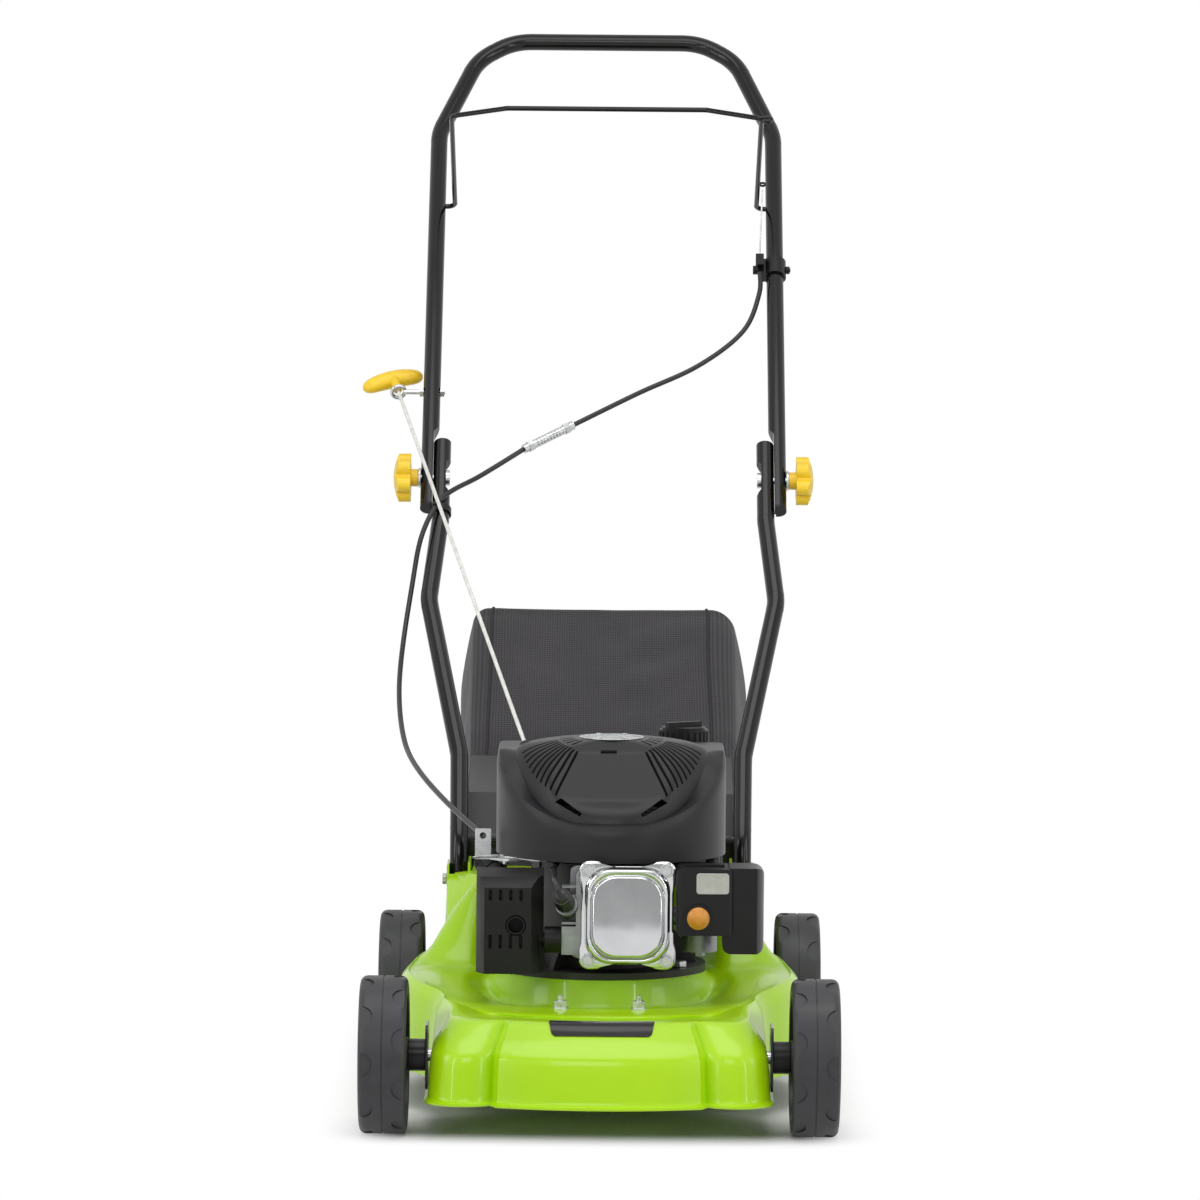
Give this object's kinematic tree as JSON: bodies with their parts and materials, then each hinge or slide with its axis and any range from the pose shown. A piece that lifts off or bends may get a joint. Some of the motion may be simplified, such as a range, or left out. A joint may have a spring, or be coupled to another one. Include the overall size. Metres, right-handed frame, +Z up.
{
  "type": "walk-behind petrol lawn mower",
  "caption": "Walk-behind petrol lawn mower: pressed deck with a rotary blade, domed engine, folding tube handle with bail and starter grip, rear flap and grass bag.",
  "frame": {"origin": "point on the ground under the crankshaft's axis", "axes": "+Z up, -Y towards the front of the mower, +X to the right seen from the front"},
  "size_m": [0.4978, 1.3426, 1.0895],
  "materials": {
    "green_paint": "glossy powder coat",
    "black_paint": "satin powder coat",
    "black_plastic": "fine grained",
    "grey_plastic": "satin moulded",
    "yellow_plastic": "moulded",
    "tyre_rubber": "moulded tread",
    "orange_rubber": "smooth",
    "bag_fabric": "woven",
    "rope_fibre": "braided",
    "cast_alloy": "sand cast",
    "bright_alloy": "polished casting",
    "zinc_steel": "zinc plated",
    "blade_steel": "black stove enamel",
    "cable_jacket": "smooth extruded"
  },
  "bodies": {
    "chassis": {"deck": "green_paint", "deck_baffles": "black_paint", "rear_plate": "black_paint", "handle_brackets": "green_paint", "height_brackets": "black_paint", "front_axle": "zinc_steel", "rear_axle": "zinc_steel", "axle_spacers": "black_plastic", "axle_nuts": "zinc_steel", "lower_handle_left": "black_paint", "lower_handle_right": "black_paint", "handle_bolts": "zinc_steel", "tube_plugs_lower": "black_plastic", "starter_rope": "rope_fibre", "cable_upper": "cable_jacket", "cable_adjuster": "zinc_steel", "cable_clip": "black_plastic", "cable_lower": "cable_jacket", "brake_bracket": "zinc_steel", "crankcase": "cast_alloy", "cylinder_block": "cast_alloy", "cylinder_head": "cast_alloy", "valve_cover": "bright_alloy", "spark_plug": "zinc_steel", "ignition_lead": "black_plastic", "muffler": "black_paint", "muffler_guard": "black_paint", "carburettor": "cast_alloy", "air_filter_box": "black_plastic", "fuel_tank": "black_plastic", "shroud": "grey_plastic", "recoil_cover": "grey_plastic", "deck_bolts": "zinc_steel", "flap_rod": "zinc_steel"},
    "wheel_fl": {"wheel_front_left": "tyre_rubber"},
    "wheel_fr": {"wheel_front_right": "tyre_rubber"},
    "wheel_rl": {"wheel_rear_left": "tyre_rubber"},
    "wheel_rr": {"wheel_rear_right": "tyre_rubber"},
    "rotor": {"crankshaft": "zinc_steel", "flywheel": "cast_alloy", "blade_adapter": "cast_alloy", "blade": "blade_steel", "blade_bolt": "zinc_steel"},
    "pulley": {"recoil_pulley": "black_plastic"},
    "upper_bar": {"upper_handle": "black_paint", "tube_plugs_upper": "black_plastic", "rope_guide": "zinc_steel", "cable_bracket": "black_plastic", "bail_cable": "zinc_steel"},
    "left_knob": {"knob_left": "yellow_plastic"},
    "right_knob": {"knob_right": "yellow_plastic"},
    "bail": {"bail_lever": "black_paint"},
    "brake": {"brake_lever": "zinc_steel"},
    "grip": {"starter_grip": "yellow_plastic"},
    "flap": {"rear_flap": "black_plastic"},
    "bag": {"grass_bag": "bag_fabric", "bag_frame": "zinc_steel"},
    "tank_cap": {"fuel_cap": "black_plastic"},
    "oil_stick": {"dipstick": "black_plastic"},
    "primer": {"primer_bulb": "orange_rubber"}
  },
  "joints": [
    {"name": "wheel_fl_spin", "type": "hinge", "parent": "chassis", "child": "wheel_fl", "pos_m": [-0.207, -0.265, 0.076], "axis": [1, 0, 0], "continuous": true},
    {"name": "wheel_fr_spin", "type": "hinge", "parent": "chassis", "child": "wheel_fr", "pos_m": [0.207, -0.265, 0.076], "axis": [1, 0, 0], "continuous": true},
    {"name": "wheel_rl_spin", "type": "hinge", "parent": "chassis", "child": "wheel_rl", "pos_m": [-0.207, 0.285, 0.076], "axis": [1, 0, 0], "continuous": true},
    {"name": "wheel_rr_spin", "type": "hinge", "parent": "chassis", "child": "wheel_rr", "pos_m": [0.207, 0.285, 0.076], "axis": [1, 0, 0], "continuous": true},
    {"name": "crank_spin", "type": "hinge", "parent": "chassis", "child": "rotor", "pos_m": [0, 0, 0.2], "axis": [0, 0, 1], "continuous": true},
    {"name": "pulley_spin", "type": "hinge", "parent": "chassis", "child": "pulley", "pos_m": [0.01, 0, 0.325], "axis": [0, 0, 1], "range_deg": [0, 745]},
    {"name": "handle_fold", "type": "hinge", "parent": "chassis", "child": "upper_bar", "pos_m": [0, 0.56375, 0.59453], "axis": [1, 0, 0], "range_deg": [0, 130], "deforming": ["cable_upper", "starter_rope"]},
    {"name": "left_knob_turn", "type": "hinge", "parent": "chassis", "child": "left_knob", "pos_m": [-0.215, 0.56375, 0.59453], "axis": [-1, 0, 0], "continuous": true},
    {"name": "right_knob_turn", "type": "hinge", "parent": "chassis", "child": "right_knob", "pos_m": [0.215, 0.56375, 0.59453], "axis": [1, 0, 0], "continuous": true},
    {"name": "bail_pull", "type": "hinge", "parent": "upper_bar", "child": "bail", "pos_m": [0, 0.81187, 0.89023], "axis": [-1, 0, 0], "range_deg": [0, 97], "stiffness_Nm_per_rad": 0.3, "springref_deg": -34.38, "deforming": ["bail_cable"]},
    {"name": "brake_swing", "type": "hinge", "parent": "chassis", "child": "brake", "pos_m": [-0.095, -0.03, 0.243], "axis": [0, 0, -1], "range_deg": [0, 15]},
    {"name": "starter_pull", "type": "slide", "parent": "upper_bar", "child": "grip", "axis": [-0.2069, 0.8635, 0.4599], "range_m": [0, 0.45], "stiffness_N_per_m": 20, "springref_m": -0.2, "deforming": ["starter_rope"]},
    {"name": "flap_lift", "type": "hinge", "parent": "chassis", "child": "flap", "pos_m": [0, 0.3365, 0.224], "axis": [1, 0, 0], "range_deg": [0, 60], "stiffness_Nm_per_rad": 0.3, "springref_deg": -45.84},
    {"name": "bag_draw", "type": "slide", "parent": "chassis", "child": "bag", "axis": [0, 0.9848, 0.1736], "range_m": [0, 0.35]},
    {"name": "fuel_cap_turn", "type": "hinge", "parent": "chassis", "child": "tank_cap", "pos_m": [0.084, 0.136, 0.345], "axis": [0, 0, 1], "range_deg": [0, 90]},
    {"name": "dipstick_turn", "type": "hinge", "parent": "chassis", "child": "oil_stick", "pos_m": [-0.058, 0.034, 0.158], "axis": [-0.5922, 0.3316, 0.7344], "range_deg": [0, 90]},
    {"name": "primer_push", "type": "slide", "parent": "chassis", "child": "primer", "axis": [0, 1, 0], "range_m": [0, 0.005], "stiffness_N_per_m": 600}
  ],
  "couplings": [
    {"joint": "brake_swing", "follows": "bail_pull", "ratio": 0.1546},
    {"joint": "pulley_spin", "follows": "starter_pull", "rad_per_m": 28.57}
  ]
}
